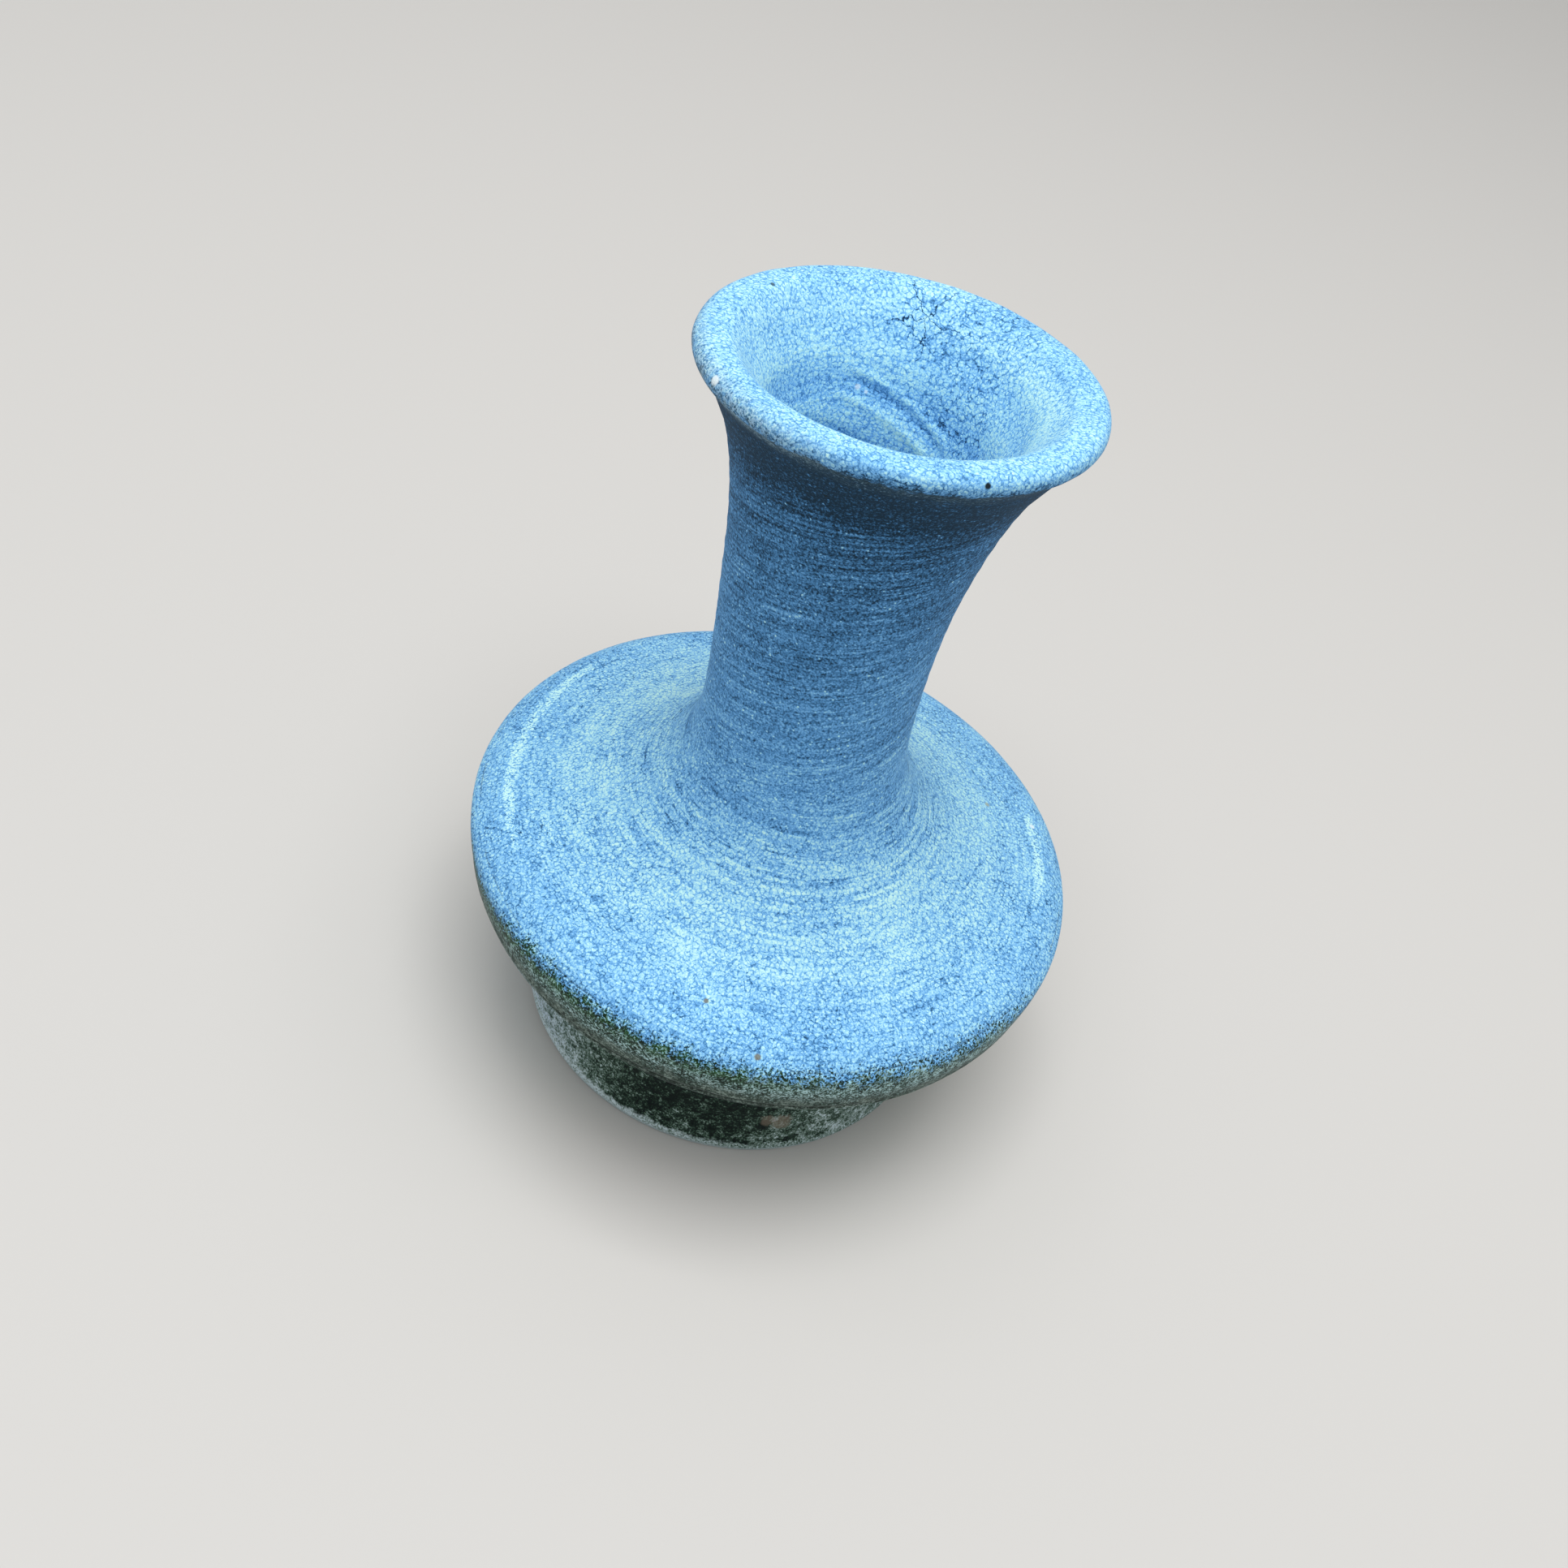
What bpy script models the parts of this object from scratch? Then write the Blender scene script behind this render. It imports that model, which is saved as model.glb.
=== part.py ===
"""Bud vase: a small stoneware bottle with a flared mouth, a wide saucer shoulder and a turned foot.

The pot is built up as a potter builds it, from five clay sections luted one on another, under
three coats of glaze. Metres, +Z up, with the origin at the centre of the resting face.

Every outline is drawn as radius and height, and falls from the crown of the lip: the outside
down to the foot, the inside down the throat to the floor.
"""
import math

import bpy
from mathutils import Vector

# Foot ring: where the pot stands
FOOT_RADIUS = 0.0294
FOOT_RING_WIDTH = 0.0052
FOOT_RING_HEIGHT = 0.0060
FOOT_CHAMFER = 0.0005
FOOT_WAIST_RADIUS = 0.0284
FOOT_WAIST_HEIGHT = 0.0112

# Bowl: floor, underside and belly
FLOOR_THICKNESS = 0.0050
FLOOR_RADIUS = 0.0190
UNDERSIDE_FILLET = 0.0030
BELLY_RADIUS = 0.0406
BELLY_HEIGHT = 0.0325
BELLY_WALL = 0.0044
CREASE_DROP = 0.0057
CREASE_INSET = 0.0008

# Shoulder: from its rounded edge up to the foot of the neck
RIDGE_INSET = 0.0044
RIDGE_RISE = 0.0031
SHOULDER_PITCH = math.radians(15)
SHOULDER_SWEEP = 0.0167
NECK_JOINT_HEIGHT = 0.0520

# Neck and lip
NECK_RADIUS = 0.01285
NECK_WAIST_HEIGHT = 0.0580
NECK_WALL = 0.0036
NECK_SWEEP_DOWN = 0.0148
NECK_SWEEP_UP = 0.0265
FLARE_ANGLE = math.radians(46)
FLARE_SWEEP = 0.0085
LIP_RADIUS = 0.02235
LIP_HEIGHT = 0.1053
LIP_THICKNESS = 0.0018
LIP_DEPTH = 0.0103

# The neck leans a little as fired, from just over the belly, and the lip is not quite level
LEAN = 0.0020
LEAN_RISE = 0.0020
LIP_RISE_TO_SIDE = 0.0366
LIP_FALL_TO_BACK = 0.0580
TILT_DEPTH = 0.0253

# Joints and glaze coats
JOINT_GAP = 0.0003
GLAZE_GAP = 0.00006
GREEN_THICKNESS = 0.00025
BLUE_THICKNESS = 0.00025
LINER_THICKNESS = 0.00025
BARE_FOOT = 0.0009
BLUE_EDGE_RISE = 0.0014
THROAT_GREEN_DEPTH = 0.0290
THROAT_BLUE_DEPTH = 0.0260

# How full each curve is: its handles' reach, as a share of its own run
EDGE_FULLNESS = 0.50
SIDE_FULLNESS = 0.40
CREASE_FULLNESS = 0.20
FILLET_LEAN = 0.30
CEILING_FULLNESS = 0.20
CAVITY_FULLNESS = 0.90
FLOOR_FULLNESS = 0.25

SEGMENTS = 44
SMOOTH_ANGLE = math.radians(35)

# Each finish is a colour and a roughness
CLAY = ((0.330, 0.220, 0.170), 0.85)
GREEN = ((0.035, 0.075, 0.050), 0.45)
BLUE = ((0.090, 0.260, 0.580), 0.80)
LINER = ((0.080, 0.110, 0.120), 0.35)


def cubic(start, start_handle, end_handle, end, count):
    """Points along a cubic curve, after its start and up to its end."""
    points = []
    for step in range(1, count + 1):
        t = step / count
        s = 1 - t
        points.append(s ** 3 * start + 3 * s * s * t * start_handle
                      + 3 * s * t * t * end_handle + t ** 3 * end)
    return points


def arc(centre, radius, start, end, count):
    """Points along a round, from the start angle to the end angle, both included."""
    points = []
    for step in range(count + 1):
        angle = start + (end - start) * step / count
        points.append(centre + radius * Vector((math.cos(angle), math.sin(angle))))
    return points


def outside_line():
    """The outer face of the clay, from the crown of the lip down to the edge of the foot."""
    lip_round = LIP_THICKNESS / 2
    lip_centre = Vector((LIP_RADIUS - lip_round, LIP_HEIGHT))
    lip = arc(lip_centre, lip_round, math.pi / 2, FLARE_ANGLE - math.pi / 2, 3)

    flare = Vector((math.sin(FLARE_ANGLE), math.cos(FLARE_ANGLE)))
    waist = Vector((NECK_RADIUS, NECK_WAIST_HEIGHT))
    neck = cubic(lip[-1], lip[-1] - FLARE_SWEEP * flare,
                 waist + Vector((0, NECK_SWEEP_UP)), waist, 5)

    ridge = Vector((BELLY_RADIUS - RIDGE_INSET, BELLY_HEIGHT + RIDGE_RISE))
    pitch = Vector((-math.cos(SHOULDER_PITCH), math.sin(SHOULDER_PITCH)))
    shoulder = cubic(waist, waist - Vector((0, NECK_SWEEP_DOWN)),
                     ridge + SHOULDER_SWEEP * pitch, ridge, 6)

    belly = Vector((BELLY_RADIUS, BELLY_HEIGHT))
    edge = cubic(ridge, ridge - EDGE_FULLNESS * RIDGE_INSET * pitch,
                 belly + Vector((0, EDGE_FULLNESS * RIDGE_RISE)), belly, 2)
    crease = Vector((BELLY_RADIUS - CREASE_INSET, BELLY_HEIGHT - CREASE_DROP))
    side = cubic(belly, belly - Vector((0, SIDE_FULLNESS * CREASE_DROP)),
                 crease + SIDE_FULLNESS * Vector((CREASE_INSET, CREASE_DROP)), crease, 2)

    waist_of_foot = Vector((FOOT_WAIST_RADIUS, FOOT_WAIST_HEIGHT))
    fillet = waist_of_foot + Vector((FILLET_LEAN, 1)) * UNDERSIDE_FILLET
    underside = cubic(crease, crease.lerp(fillet, CREASE_FULLNESS)
                      - Vector((0, CREASE_FULLNESS * CREASE_DROP)),
                      fillet, waist_of_foot, 3)
    foot = [Vector((FOOT_RADIUS, FOOT_CHAMFER)), Vector((FOOT_RADIUS - FOOT_CHAMFER, 0))]
    return lip + neck + shoulder + edge + side + underside + foot


def inside_line():
    """The inner face of the clay, from the crown of the lip down to the middle of the floor."""
    lip_round = LIP_THICKNESS / 2
    lip_centre = Vector((LIP_RADIUS - lip_round, LIP_HEIGHT))
    lip = arc(lip_centre, lip_round, math.pi / 2, FLARE_ANGLE + math.pi / 2, 2)

    flare = Vector((math.sin(FLARE_ANGLE), math.cos(FLARE_ANGLE)))
    bore = Vector((NECK_RADIUS - NECK_WALL, NECK_WAIST_HEIGHT))
    throat = cubic(lip[-1], lip[-1] - (FLARE_SWEEP + NECK_WALL) * flare,
                   bore + Vector((0, NECK_SWEEP_UP)), bore, 4)

    widest = Vector((BELLY_RADIUS - BELLY_WALL, BELLY_HEIGHT - BELLY_WALL / 2))
    ceiling = BELLY_HEIGHT + RIDGE_RISE - NECK_WALL
    cavity = cubic(bore, Vector((bore.x, ceiling + CEILING_FULLNESS * NECK_WALL)),
                   Vector((widest.x, ceiling + CAVITY_FULLNESS * NECK_WALL)), widest, 6)

    floor = Vector((FLOOR_RADIUS, FOOT_RING_HEIGHT + FLOOR_THICKNESS))
    run = FLOOR_FULLNESS * (widest - floor)
    bowl = cubic(widest, widest - Vector((0, run.y)), floor + Vector((run.x, 0)), floor, 3)
    return lip + throat + cavity + bowl + [Vector((0, floor.y))]


def offset(line, distance):
    """The same outline moved to the left of its run by an even distance."""
    moved = []
    for index, point in enumerate(line):
        before = line[max(index - 1, 0)]
        after = line[min(index + 1, len(line) - 1)]
        ways = [(b - a).normalized() for a, b in ((before, point), (point, after)) if a != b]
        normals = [Vector((-way.y, way.x)) for way in ways]
        middle = sum(normals, Vector((0, 0))).normalized()
        moved.append(point + middle * (distance / middle.dot(normals[0])))
    return moved


def at_height(line, height):
    """The point where a falling outline crosses a height."""
    for upper, lower in zip(line, line[1:]):
        if lower.y <= height <= upper.y and lower.y != upper.y:
            return upper.lerp(lower, (upper.y - height) / (upper.y - lower.y))
    raise ValueError("no part of the outline is at height %.4f" % height)


def below(line, top):
    """The part of a falling outline under a height, with its start cut level."""
    return [at_height(line, top)] + [point for point in line if point.y < top]


def above(line, bottom):
    """The part of a falling outline over a height, with its end cut level."""
    return [point for point in line if point.y > bottom] + [at_height(line, bottom)]


def settle(position):
    """Where a point of the upright pot lies once the neck has leaned and the lip has tilted."""
    def ease(low, high):
        t = min(max((position.z - low) / (high - low), 0), 1)
        return t * t * (3 - 2 * t)
    tilt_foot = LIP_HEIGHT - TILT_DEPTH
    slope = LIP_RISE_TO_SIDE * position.x - LIP_FALL_TO_BACK * position.y
    rise = slope * ease(tilt_foot, LIP_HEIGHT)
    shift = -LEAN * ease(BELLY_HEIGHT + LEAN_RISE, tilt_foot)
    return position + Vector((shift, 0, rise))


def material(name, finish):
    """A Principled material for one piece."""
    colour, roughness = finish
    result = bpy.data.materials.new(name)
    result.use_nodes = True
    shader = result.node_tree.nodes["Principled BSDF"]
    shader.inputs["Base Color"].default_value = (*colour, 1)
    shader.inputs["Roughness"].default_value = roughness
    shader.inputs["Metallic"].default_value = 0
    result.diffuse_color = (*colour, 1)
    return result


def turn(name, outline, finish, closed=True):
    """Turns an outline round the upright axis, then lets the piece settle as fired.

    The outline runs down its outer side. Where it isn't closed, both its ends are on the axis.
    """
    outline_mesh = bpy.data.meshes.new(name + "_outline")
    corners = [(point.x, 0, point.y) for point in outline]
    edges = [(index, index + 1) for index in range(len(corners) - 1)]
    if closed:
        edges.append((len(corners) - 1, 0))
    outline_mesh.from_pydata(corners, edges, [])
    wheel = bpy.data.objects.new(name, outline_mesh)
    vase.objects.link(wheel)

    screw = wheel.modifiers.new("turning", "SCREW")
    screw.axis = "Z"
    screw.steps = SEGMENTS
    screw.render_steps = SEGMENTS
    screw.use_merge_vertices = True
    screw.merge_threshold = 0.00001

    spun = wheel.evaluated_get(bpy.context.evaluated_depsgraph_get())
    turned = bpy.data.meshes.new_from_object(spun)
    bpy.data.objects.remove(wheel)
    bpy.data.meshes.remove(outline_mesh)
    turned.name = name
    for vertex in turned.vertices:
        vertex.co = settle(vertex.co)
    turned.shade_smooth()
    turned.set_sharp_from_angle(angle=SMOOTH_ANGLE)
    turned.materials.clear()
    turned.materials.append(material(name, finish))
    vase.objects.link(bpy.data.objects.new(name, turned))


def coat(outside, inside, distance, outer_end, inner_end):
    """One face of a coat, from the throat over the crown of the lip to a height outside."""
    line = offset(inside[:0:-1] + outside, distance)
    crown = len(inside) - 1
    outer = above(line[crown:], outer_end)
    inner = above(line[crown::-1], inner_end)
    return inner[:0:-1] + outer


for old in list(bpy.data.objects):
    bpy.data.objects.remove(old)
vase = bpy.data.collections.new("bud_vase")
bpy.context.scene.collection.children.link(vase)

outside = outside_line()
inside = inside_line()
half_gap = JOINT_GAP / 2
lip_joint = LIP_HEIGHT - LIP_DEPTH

# Foot ring: a plain band with an open middle, bevelled where it stands
foot_top = FOOT_RING_HEIGHT - half_gap
foot_bore = FOOT_RADIUS - FOOT_RING_WIDTH
turn("foot_ring", below(outside, foot_top) + [
    Vector((foot_bore + FOOT_CHAMFER, 0)),
    Vector((foot_bore, FOOT_CHAMFER)),
    Vector((foot_bore, foot_top))], CLAY)

# Bowl: its floor closes the foot, and its wall rises to the widest part of the belly
bowl_top = BELLY_HEIGHT - half_gap
bowl_under = FOOT_RING_HEIGHT + half_gap
turn("bowl", below(inside, bowl_top)[::-1] + above(below(outside, bowl_top), bowl_under)
     + [Vector((0, bowl_under))], CLAY, closed=False)

# Shoulder and neck: open rings between level joints
for name, top, bottom in (("shoulder", NECK_JOINT_HEIGHT, BELLY_HEIGHT),
                          ("neck", lip_joint, NECK_JOINT_HEIGHT)):
    outer = above(below(outside, top - half_gap), bottom + half_gap)
    inner = above(below(inside, top - half_gap), bottom + half_gap)
    turn(name, outer + inner[::-1], CLAY)

# Lip: the flare and its rolled edge
lip_bottom = lip_joint + half_gap
turn("lip", above(outside, lip_bottom) + above(inside, lip_bottom)[:0:-1], CLAY)

# Green glaze covers the outside and the mouth, and the foot's last edge is left bare
green_near = GLAZE_GAP
green_far = green_near + GREEN_THICKNESS
green_end = LIP_HEIGHT - THROAT_GREEN_DEPTH
turn("green_glaze", coat(outside, inside, green_far, BARE_FOOT, green_end)
     + coat(outside, inside, green_near, BARE_FOOT, green_end)[::-1], GREEN)

# Blue glaze lies over the green one, down to the edge of the shoulder
blue_near = green_far + GLAZE_GAP
blue_far = blue_near + BLUE_THICKNESS
blue_end = LIP_HEIGHT - THROAT_BLUE_DEPTH
blue_edge = BELLY_HEIGHT + BLUE_EDGE_RISE
turn("blue_glaze", coat(outside, inside, blue_far, blue_edge, blue_end)
     + coat(outside, inside, blue_near, blue_edge, blue_end)[::-1], BLUE)

# Liner glaze makes the inside watertight, from the floor up to the green glaze in the throat
liner_top = green_end - JOINT_GAP
liner_far = below(offset(inside, -GLAZE_GAP - LINER_THICKNESS), liner_top)
liner_near = below(offset(inside, -GLAZE_GAP), liner_top)
turn("liner_glaze", liner_far[::-1] + liner_near, LINER, closed=False)
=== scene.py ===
"""Bud vase: the glazed pot as it looks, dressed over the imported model.

Every skin is a section drawn in the XZ plane, turned on the upright axis, marked by the
throwing and then settled: the neck leans and the lip tilts as the fired pot's do. A place on
the pot is named by its run, the distance down the outline from the crown of the lip in metres
(negative down the inside), and its turn, the angle round the axis from +X.
"""
import math
from types import SimpleNamespace

import bmesh
import bpy
import numpy as np
from mathutils import Matrix, Vector, kdtree, noise


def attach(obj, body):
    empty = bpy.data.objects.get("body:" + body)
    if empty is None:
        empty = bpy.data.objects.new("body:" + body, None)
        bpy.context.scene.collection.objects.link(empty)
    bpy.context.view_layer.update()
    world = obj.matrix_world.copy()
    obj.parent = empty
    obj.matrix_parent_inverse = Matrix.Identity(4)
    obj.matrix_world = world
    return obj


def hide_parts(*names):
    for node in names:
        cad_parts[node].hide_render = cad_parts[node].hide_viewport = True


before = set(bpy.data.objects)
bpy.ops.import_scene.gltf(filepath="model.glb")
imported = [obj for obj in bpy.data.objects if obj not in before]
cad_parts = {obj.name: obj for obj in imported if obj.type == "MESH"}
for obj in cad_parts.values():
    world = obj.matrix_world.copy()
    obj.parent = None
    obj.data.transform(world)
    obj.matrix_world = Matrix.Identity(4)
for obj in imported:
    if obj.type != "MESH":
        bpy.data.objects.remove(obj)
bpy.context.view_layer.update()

# Foot and floor
FOOT_RADIUS = 0.0294
FOOT_CHAMFER = 0.0005
FOOT_WAIST_RADIUS = 0.0284
FOOT_WAIST_HEIGHT = 0.0112
FOOT_BORE = 0.0242
FLOOR_UNDER = 0.00615
FLOOR_RADIUS = 0.0190
FLOOR_HEIGHT = 0.0110
UNDERSIDE_FILLET = 0.0030
STAND_INSET = 0.0001
STAND_ROUND = 0.0006
FLOOR_ROUND = 0.0012
FOOT_WALL = 0.0050
FOOT_LAP = 0.00025

# Belly and shoulder
BELLY_RADIUS = 0.0406
BELLY_HEIGHT = 0.0325
BELLY_WALL = 0.0044
CREASE_DROP = 0.0057
CREASE_INSET = 0.0008
RIDGE_INSET = 0.0044
RIDGE_RISE = 0.0031
SHOULDER_PITCH = math.radians(15)
SHOULDER_SWEEP = 0.0167

# Neck and lip: the lip's crown is broad, with a small round outside and a larger one inside
NECK_RADIUS = 0.01285
NECK_WAIST_HEIGHT = 0.0580
NECK_WALL = 0.0036
NECK_SWEEP_DOWN = 0.0148
NECK_SWEEP_UP = 0.0265
FLARE = 46
FLARE_SWEEP = 0.0085
THROAT_SWEEP = 0.0095
LIP_RADIUS = 0.02235
LIP_HEIGHT = 0.1053
LIP_ROUND = 0.0009
LIP_DEPTH = 0.0103
CROWN_RADIUS = 0.0199
CROWN_ROUND = 0.0014

# How full each curve is: its handles' reach, as a share of its own run
EDGE_FULLNESS = 0.50
SIDE_FULLNESS = 0.40
CREASE_FULLNESS = 0.20
FILLET_LEAN = 0.30
CEILING_FULLNESS = 0.20
CAVITY_FULLNESS = 0.90
FLOOR_FULLNESS = 0.25

# How the fired pot has settled
LEAN = 0.0020
LIP_RISE_TO_SIDE = 0.0366
LIP_FALL_TO_BACK = 0.0580
TILT_FROM, TILT_TO = LIP_HEIGHT - 0.0253, LIP_HEIGHT
LEAN_FROM, LEAN_TO = BELLY_HEIGHT + 0.0020, TILT_FROM

# How far each face stands proud of the clay
UNDER_BLUE = 0.00034
BLUE_FACE = 0.00052
BLUE_EDGE_BACK = 0.00019
GREEN_HIDDEN = 0.00012
GREEN_FACE = 0.00025
GREEN_BACK = 0.00004
GREEN_BACK_AT_CREASE = -0.00035
LINER_FACE = 0.00030
LINER_BACK = 0.00006
# How far the blue takes to thin out at its lower edge
FEATHER = 0.003
# How far the clay keeps back from the glaze: at the foot, in the walls and in the well
FOOT_GAP = 0.00003
WALL_GAP = 0.0006
WELL_GAP = 0.0001

# The one run that all points of the foot and of the bowl are given: no glaze reads it there
FOOT_RUN, BOWL_RUN = 0.128, 0.130

# How far spiral marks climb in one turn
NECK_RISE = 0.024
MOUTH_RISE = 0.0075
FLOOR_RISE = 0.0026
LINER_RISE = 0.0040
# The relief that counts as a mark of 1
MARK_UNIT = 0.0001
# Where marks lie, as where each patch starts and ends and how softly: by run, or under the
# floor by radius
NECK_MARKS = (0.012, 0.054, 0.004)
SHOULDER_MARKS = (0.056, 0.084, 0.003)
MOUTH_MARKS = (-0.028, -0.005, 0.003)
LIP_DENTS = (-0.003, 0.0045, 0.001)
UNDERSIDE_RINGS = (0.0990, 0.1275, 0.001)
FLOOR_SPIRAL = (0.0008, 0.0225, 0.0008)
# Ripples that marks are made of, each a height and a length
NECK_RIPPLES = ((0.00004, NECK_RISE / 7), (0.00003, NECK_RISE / 15))
SHOULDER_RIPPLES = ((0.00003, 0.0043), (0.00002, 0.0019))
MOUTH_RIPPLES = ((0.00010, MOUTH_RISE),)
UNDERSIDE_RIPPLES = ((0.00003, 0.0023),)
FLOOR_RIPPLES = ((0.00006, FLOOR_RISE),)
LINER_RIPPLES = ((0.00006, LINER_RISE),)
# Lines left by a fingertip or tool: where each starts and ends, as a turn in degrees and a run,
# then its width and depth. A ridge has a depth below 0.
FINGER_MARKS = [((-170, 0.0396), (-72, 0.0338), 0.00045, 0.00014),
                ((-150, 0.0413), (-100, 0.0385), 0.00035, 0.00008),
                ((-138, 0.0597), (-42, 0.0605), 0.00028, 0.00010),
                ((-150, 0.0615), (-60, 0.0619), 0.00026, 0.00009),
                ((-120, 0.0632), (-54, 0.0638), 0.00026, 0.00010),
                ((-165, 0.0570), (-100, 0.0576), 0.00028, 0.00009),
                ((-88, 0.0828), (-42, 0.0832), 0.00040, 0.00006),
                ((52, -0.0190), (116, -0.0135), 0.00040, 0.00013),
                ((52, -0.0178), (116, -0.0123), 0.00050, -0.00013),
                ((58, -0.0205), (124, -0.0153), 0.00060, -0.00014),
                ((84, -0.0232), (150, -0.0176), 0.00060, 0.00012)]

# Camera: where the photograph was taken from, for a 1932 x 1932 image
FOCAL_PIXELS = 2100
IMAGE_PIXELS = 1932
SENSOR = 36
CAMERA_PLACE = Vector((0, -0.163315, 0.197595))
CAMERA_YAW = -0.0057
CAMERA_PITCH = 0.7605
CAMERA_ROLL = 0.3067


def cubic(start, start_handle, end_handle, end, count=240):
    """Points along a cubic curve, both ends included."""
    t = np.linspace(0, 1, count)[:, None]
    s = 1 - t
    return s ** 3 * start + 3 * s * s * t * start_handle + 3 * s * t * t * end_handle + t ** 3 * end


def roll(centre, radius, first, last, count=60):
    """Points round a rounded edge, between two angles in degrees."""
    angle = np.radians(np.linspace(first, last, count))
    return np.array(centre) + radius * np.stack([np.cos(angle), np.sin(angle)], axis=1)


def joined(parts):
    """Curves laid end to end, without the points that they share."""
    return np.concatenate([parts[0]] + [part[1:] for part in parts[1:]])


def ends(curves):
    """How far down the outline each curve ends."""
    return [float(end) for end in np.cumsum([np.hypot(*np.diff(curve, axis=0).T).sum()
                                             for curve in curves])]


waist = np.array([NECK_RADIUS, NECK_WAIST_HEIGHT])
flare_way = np.array([math.sin(math.radians(FLARE)), math.cos(math.radians(FLARE))])
lip_centre = np.array([LIP_RADIUS - LIP_ROUND, LIP_HEIGHT])
crown_centre = np.array([CROWN_RADIUS, LIP_HEIGHT + LIP_ROUND - CROWN_ROUND])


def outside_curves():
    """The outer face of the clay: lip, neck, shoulder, edge, side, underside and foot."""
    lip = roll(lip_centre, LIP_ROUND, 90, FLARE - 90)
    neck = cubic(lip[-1], lip[-1] - FLARE_SWEEP * flare_way, waist + (0, NECK_SWEEP_UP), waist)

    belly = np.array([BELLY_RADIUS, BELLY_HEIGHT])
    ridge = belly + (-RIDGE_INSET, RIDGE_RISE)
    pitch = np.array([-math.cos(SHOULDER_PITCH), math.sin(SHOULDER_PITCH)])
    shoulder = cubic(waist, waist - (0, NECK_SWEEP_DOWN), ridge + SHOULDER_SWEEP * pitch, ridge)
    edge = cubic(ridge, ridge - EDGE_FULLNESS * RIDGE_INSET * pitch,
                 belly + (0, EDGE_FULLNESS * RIDGE_RISE), belly)

    crease = belly - (CREASE_INSET, CREASE_DROP)
    side = cubic(belly, belly - (0, SIDE_FULLNESS * CREASE_DROP),
                 crease + SIDE_FULLNESS * (belly - crease), crease)
    foot_waist = np.array([FOOT_WAIST_RADIUS, FOOT_WAIST_HEIGHT])
    fillet = foot_waist + UNDERSIDE_FILLET * np.array([FILLET_LEAN, 1])
    underside = cubic(crease, crease + CREASE_FULLNESS * (fillet - crease - (0, CREASE_DROP)),
                      fillet, foot_waist)
    foot = np.linspace(foot_waist, (FOOT_RADIUS, FOOT_CHAMFER), 240)
    return [lip, neck, shoulder, edge, side, underside, foot]


def inside_curves():
    """The inner face of the clay: the crown and its round, throat, hollow, wall and floor."""
    crown = np.array([lip_centre + (0, LIP_ROUND), crown_centre + (0, CROWN_ROUND)])
    crown_roll = roll(crown_centre, CROWN_ROUND, 90, 90 + FLARE)
    bore = waist - (NECK_WALL, 0)
    throat = cubic(crown_roll[-1], crown_roll[-1] - THROAT_SWEEP * flare_way,
                   bore + (0, NECK_SWEEP_UP), bore)

    widest = np.array([BELLY_RADIUS - BELLY_WALL, BELLY_HEIGHT - BELLY_WALL / 2])
    ceiling = BELLY_HEIGHT + RIDGE_RISE - NECK_WALL
    hollow = cubic(bore, np.array([bore[0], ceiling + CEILING_FULLNESS * NECK_WALL]),
                   np.array([widest[0], ceiling + CAVITY_FULLNESS * NECK_WALL]), widest)
    floor_edge = np.array([FLOOR_RADIUS, FLOOR_HEIGHT])
    reach = FLOOR_FULLNESS * (widest - floor_edge)
    wall = cubic(widest, widest - (0, reach[1]), floor_edge + (reach[0], 0), floor_edge)
    return [crown, crown_roll, throat, hollow, wall, np.array([floor_edge, (0.0, FLOOR_HEIGHT)])]


# The whole outline of the clay, from the middle of the floor over the lip to the foot
outside, inside = outside_curves(), inside_curves()
inner = joined(inside)
crown_row = len(inner) - 1
clay = np.concatenate([inner[:0:-1], joined(outside)])
clay_run = np.concatenate([[0], np.cumsum(np.hypot(*np.diff(clay, axis=0).T))])
clay_run -= clay_run[crown_row]
along = np.gradient(clay, clay_run, axis=0)
along /= np.hypot(*along.T)[:, None]

# Places down the outline, where its curves meet
RIDGE, BELLY, CREASE, _, FOOT_END = ends(outside)[2:]
HOLLOW_END, WALL_END, FLOOR_END = (-end for end in ends(inside)[3:])
lip_foot = LIP_HEIGHT - LIP_DEPTH
LIP_OUTSIDE = float(np.interp(-lip_foot, -clay[crown_row:, 1], clay_run[crown_row:]))
LIP_INSIDE = float(np.interp(lip_foot, clay[:crown_row + 1, 1], clay_run[:crown_row + 1]))

# Where each coat starts and ends
BLUE_START, BLUE_END = -0.0310, BELLY - 0.0017
GREEN_START, GREEN_END = -0.0340, FOOT_END - 0.0004
LINER_START = -0.0344
# Where the rows of the coats change their spacing, from the floor up over the lip and down
WALL_START = HOLLOW_END - 0.0004
SWIRL_START, SWIRL_END = -0.0240, -0.0115
CROWN_EDGE = -0.0040
ROLL_END = 0.0034
LIP_END = 0.0040
NECK_LOW = 0.0500
NECK_END = 0.0620
SHOULDER_END = 0.0850
BREAK_START = 0.0870
SUNK_START, SUNK_END = 0.0960, 0.1010
GROOVE_START, GROOVE_END = 0.0968, 0.0994
UNDERSIDE_END = 0.1175
# Where the bowl's well and outer wall start and end, and where the foot's outer face starts
WELL_TOP = HOLLOW_END + 0.0011
WALL_TOP, WALL_FOOT = 0.0935, 0.1170
FOOT_START = 0.1215
# Where the green thickens below the blue, and its relief: the groove at the crease, the groove's
# raised lip and the bead at the foot, each a height, a run and a width
GREEN_THICKENS = (0.0885, 0.0900)
GREEN_RELIEF = ((-0.00042, CREASE, 0.00042), (0.00006, CREASE - 0.0011, 0.0004),
                (0.00008, GREEN_END - 0.0007, 0.0005))
# How far the green's bottom edge draws in, and over what run
GREEN_EDGE_DRAW, GREEN_EDGE_REACH = 0.00018, 0.0003


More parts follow.
